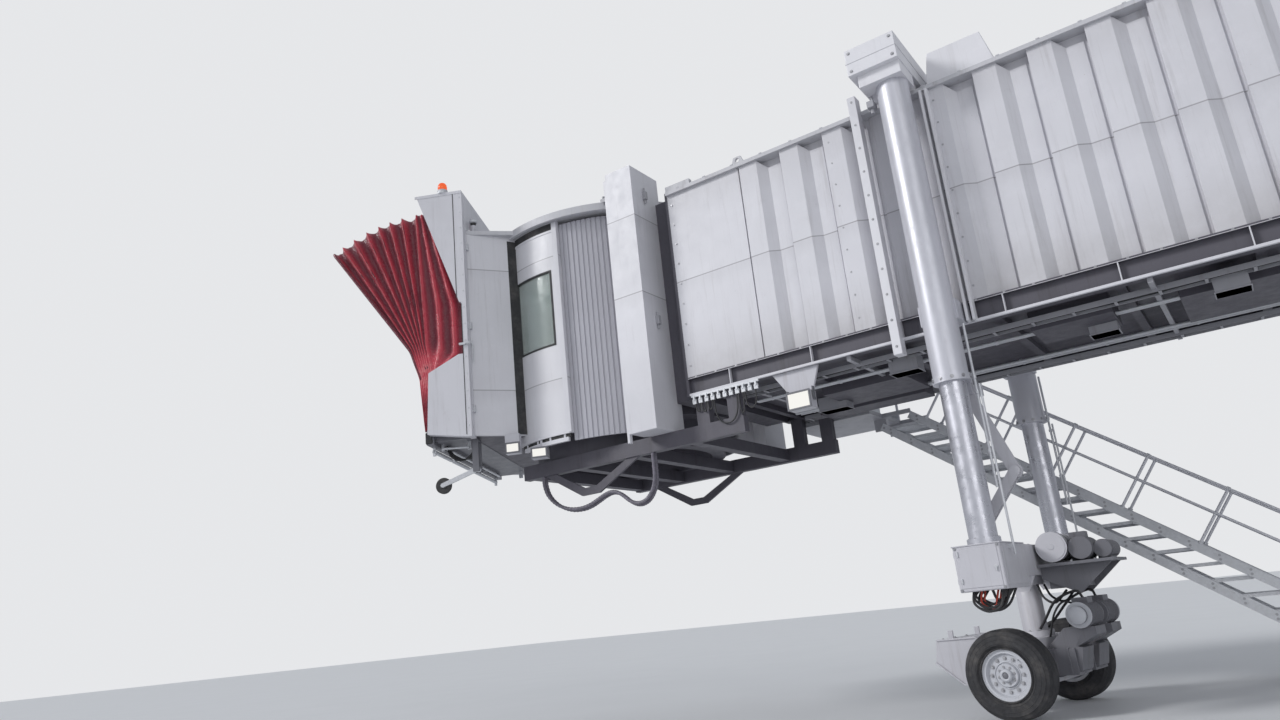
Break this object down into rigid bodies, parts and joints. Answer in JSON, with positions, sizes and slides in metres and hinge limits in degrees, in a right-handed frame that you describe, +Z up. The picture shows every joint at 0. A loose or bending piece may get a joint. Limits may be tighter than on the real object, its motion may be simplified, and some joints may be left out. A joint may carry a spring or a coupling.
{
  "type": "passenger boarding bridge",
  "caption": "Apron-drive boarding bridge: ribbed telescoping tunnels from a rotunda to a turned round cab with a folding canopy, on lift columns with a steered wheel base and a service stair.",
  "frame": {"origin": "on the ground, in the middle of the rotunda column's base flange", "axes": "+X along the tunnels towards the terminal, +Z up, -Y towards the side the cab is turned to"},
  "size_m": [23.3801, 6.0051, 7.714],
  "materials": {
    "pale_paint": "satin",
    "roof_paint": "satin",
    "white_paint": "satin",
    "dark_steel": "satin",
    "mid_steel": "satin",
    "column_steel": "satin",
    "galvanised": "matt",
    "tyre": "matt",
    "rim_paint": "satin",
    "cable": "matt",
    "hose": "matt",
    "canopy_cloth": "matt",
    "window_glass": "gloss",
    "lamp": "gloss"
  },
  "bodies": {
    "terminal": {"pedestal": "mid_steel", "rotunda_floor": "dark_steel", "rotunda_wall": "pale_paint", "rotunda_roof": "roof_paint", "terminal_frame": "pale_paint", "rotunda_throat": "pale_paint"},
    "inner": {"inner_floor": "dark_steel", "inner_shell": "pale_paint"},
    "outer": {"outer_floor": "dark_steel", "bottom_chords": "dark_steel", "near_wall": "pale_paint", "far_wall": "pale_paint", "outer_roof": "roof_paint", "end_frame": "dark_steel", "portal_posts": "white_paint", "header_beam": "roof_paint", "outer_columns": "column_steel", "cable_hangers": "galvanised", "service_door": "pale_paint", "landing": "mid_steel", "landing_rail": "galvanised", "cab_support": "dark_steel", "curtain_housings": "pale_paint", "slat_curtains": "pale_paint", "tunnel_floodlight": "lamp", "festoon": "cable", "cab_hose": "hose"},
    "lift": {"inner_columns": "column_steel", "crossbeam": "mid_steel", "cabinet": "mid_steel", "pump_set": "dark_steel"},
    "link_upper": {"scissor_upper": "mid_steel"},
    "link_lower": {"scissor_lower": "mid_steel"},
    "bogie": {"bogie_frame": "mid_steel", "drive_units": "dark_steel"},
    "wheel_near": {"tyre_near": "tyre", "rim_near": "rim_paint"},
    "wheel_far": {"tyre_far": "tyre", "rim_far": "rim_paint"},
    "cab": {"cab_floor": "dark_steel", "cab_walls": "pale_paint", "cab_window": "window_glass", "cab_roof": "roof_paint", "front_frame": "pale_paint", "bumper": "dark_steel", "cab_lamps": "lamp", "canopy": "canopy_cloth", "canopy_bow": "dark_steel"},
    "leveller": {"leveller_arm": "galvanised"},
    "leveller_roller": {"leveller_wheel": "tyre"},
    "stair": {"stair_stringers": "galvanised", "stair_treads": "galvanised", "stair_rail": "galvanised"},
    "stair_foot": {"stair_wheels": "tyre"}
  },
  "joints": [
    {"name": "slope", "type": "hinge", "parent": "terminal", "child": "inner", "pos_m": [-2.12, 0, 4.04], "axis": [0, 1, 0], "range_deg": [-2.5, 0.5]},
    {"name": "telescope", "type": "slide", "parent": "inner", "child": "outer", "axis": [1, 0, 0], "range_m": [-2, 2.3]},
    {"name": "lift", "type": "slide", "parent": "outer", "child": "lift", "axis": [0, 0, -1], "range_m": [-0.416, 0.084]},
    {"name": "link_top", "type": "hinge", "parent": "outer", "child": "link_upper", "pos_m": [-11.56, -1.5, 3.3], "axis": [0, 1, 0], "range_deg": [-16.8, 3.5]},
    {"name": "link_bottom", "type": "hinge", "parent": "lift", "child": "link_lower", "pos_m": [-11.72, -1.5, 1.82], "axis": [0, 1, 0], "range_deg": [-6.3, 30.4]},
    {"name": "steer", "type": "hinge", "parent": "lift", "child": "bogie", "pos_m": [-11.72, 0, 1.3], "axis": [0, 0, 1], "range_deg": [-90, 90]},
    {"name": "roll_near", "type": "hinge", "parent": "bogie", "child": "wheel_near", "pos_m": [-11.85007, -0.87033, 0.45], "axis": [0.1478, 0.989, 0], "continuous": true},
    {"name": "roll_far", "type": "hinge", "parent": "bogie", "child": "wheel_far", "pos_m": [-11.58993, 0.87033, 0.45], "axis": [0.1478, 0.989, 0], "continuous": true},
    {"name": "cab_turn", "type": "hinge", "parent": "outer", "child": "cab", "pos_m": [-16.92, 0, 3.8], "axis": [0, 0, 1], "range_deg": [-28, 28]},
    {"name": "leveller_swing", "type": "hinge", "parent": "cab", "child": "leveller", "pos_m": [-17.96101, -2.19574, 3.56], "axis": [-0.4695, 0.8829, 0], "range_deg": [-20, 20]},
    {"name": "leveller_roll", "type": "hinge", "parent": "leveller", "child": "leveller_roller", "pos_m": [-18.42361, -2.39075, 3.39], "axis": [-0.4695, 0.8829, 0], "continuous": true},
    {"name": "stair_hinge", "type": "hinge", "parent": "outer", "child": "stair", "pos_m": [-13.7, 2.35, 3.755], "axis": [0, 1, 0], "range_deg": [-3.4, 0.75]},
    {"name": "stair_roll", "type": "hinge", "parent": "stair", "child": "stair_foot", "pos_m": [-8.77899, 2.35, 0.125], "axis": [0, 1, 0], "continuous": true}
  ],
  "couplings": [
    {"joint": "lift", "follows": "slope", "m_per_rad": 9.5},
    {"joint": "link_top", "follows": "slope", "ratio": 6.6},
    {"joint": "link_bottom", "follows": "slope", "ratio": -12.02},
    {"joint": "stair_hinge", "follows": "slope", "ratio": 1.3}
  ]
}
